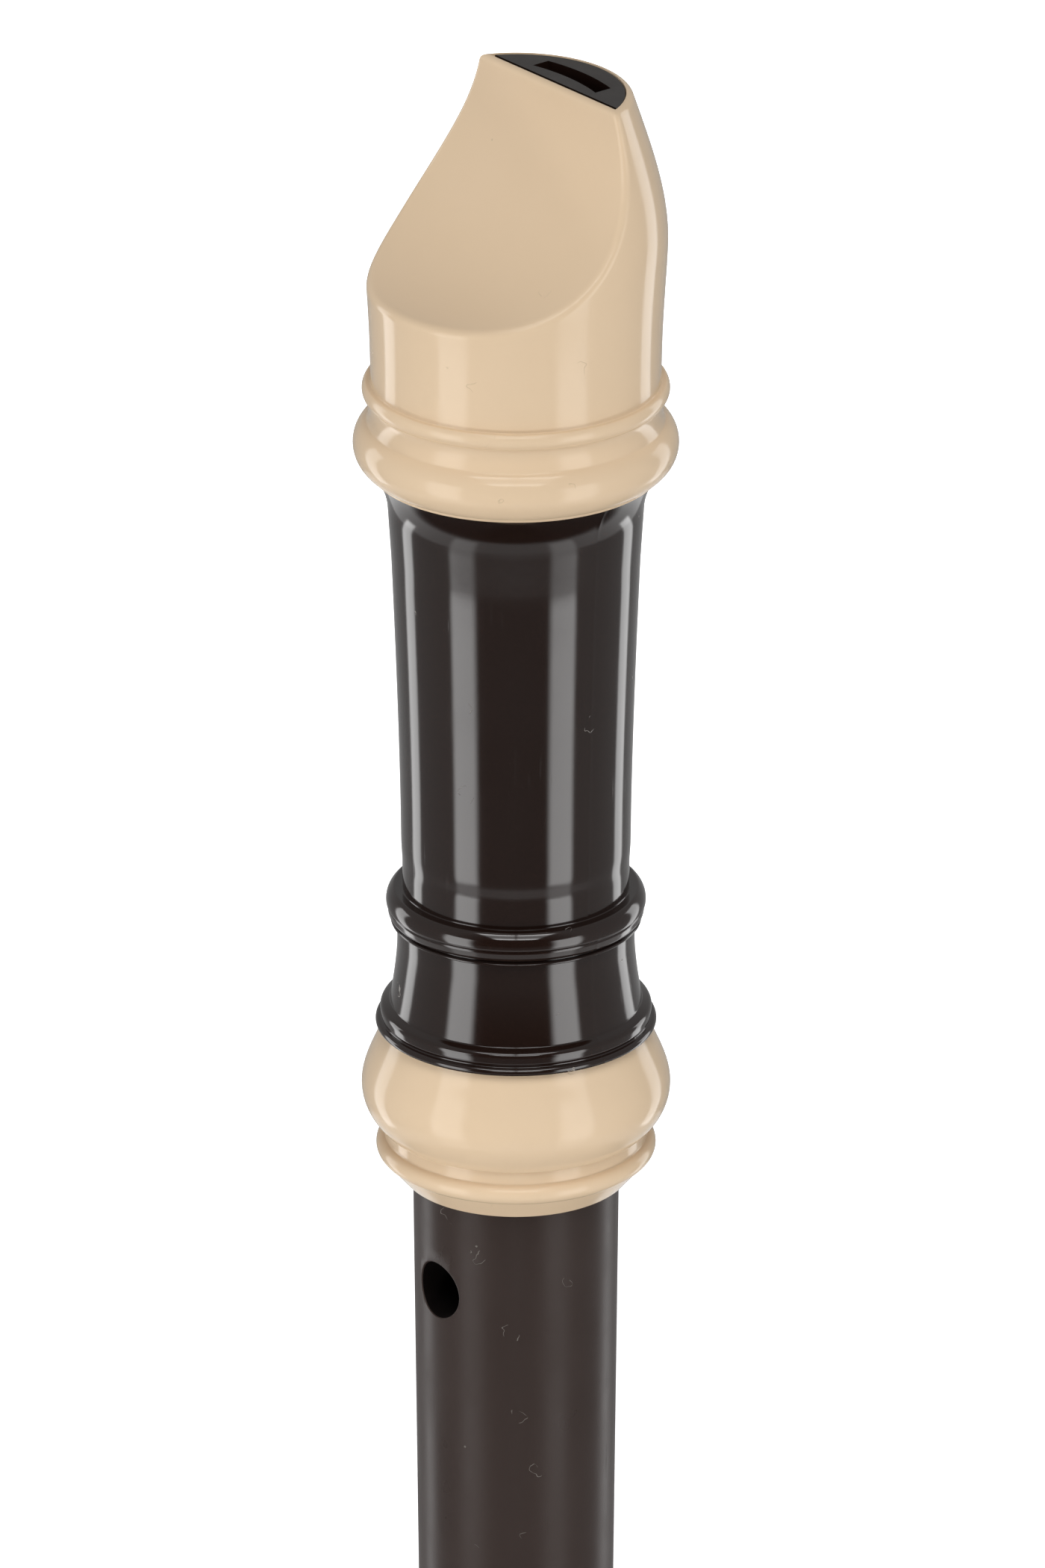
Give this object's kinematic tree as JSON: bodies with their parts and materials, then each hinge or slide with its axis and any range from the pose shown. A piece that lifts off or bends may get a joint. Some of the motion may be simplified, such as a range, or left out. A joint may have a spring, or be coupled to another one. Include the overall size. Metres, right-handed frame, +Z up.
{
  "type": "sopranino recorder",
  "caption": "Baroque-pattern sopranino recorder in black and ivory ABS, in three joints, with a capped beak, arched windway, thumb hole and finger holes.",
  "frame": {"origin": "centre of the flat end of the foot, on the bore's axis, where the recorder stands upright", "axes": "+Z up the bore from the foot to the beak; -Y is the front, with the window and finger holes; +Y is the back, with the thumb hole and the scoop of the beak; +X is to the right seen from the front"},
  "size_m": [0.025, 0.025, 0.246],
  "materials": {
    "ivory_abs": "polished, ivory-coloured moulded ABS",
    "black_abs": "polished, brown-black moulded ABS",
    "satin_black_abs": "satin, brown-black moulded ABS"
  },
  "bodies": {
    "head": {"beak_cap": "ivory_abs", "windway_block": "black_abs", "head_tube": "black_abs", "head_socket_ring": "ivory_abs"},
    "middle": {"middle_joint": "satin_black_abs"},
    "foot": {"foot_tube": "black_abs", "foot_socket_ring": "ivory_abs", "foot_end_ring": "ivory_abs"}
  },
  "joints": [
    {"name": "head_slide", "type": "slide", "parent": "middle", "child": "head", "axis": [0, 0, 1], "range_m": [0, 0.012]},
    {"name": "foot_turn", "type": "hinge", "parent": "middle", "child": "foot", "pos_m": [0, 0, 0.055], "axis": [0, 0, 1], "continuous": true}
  ]
}
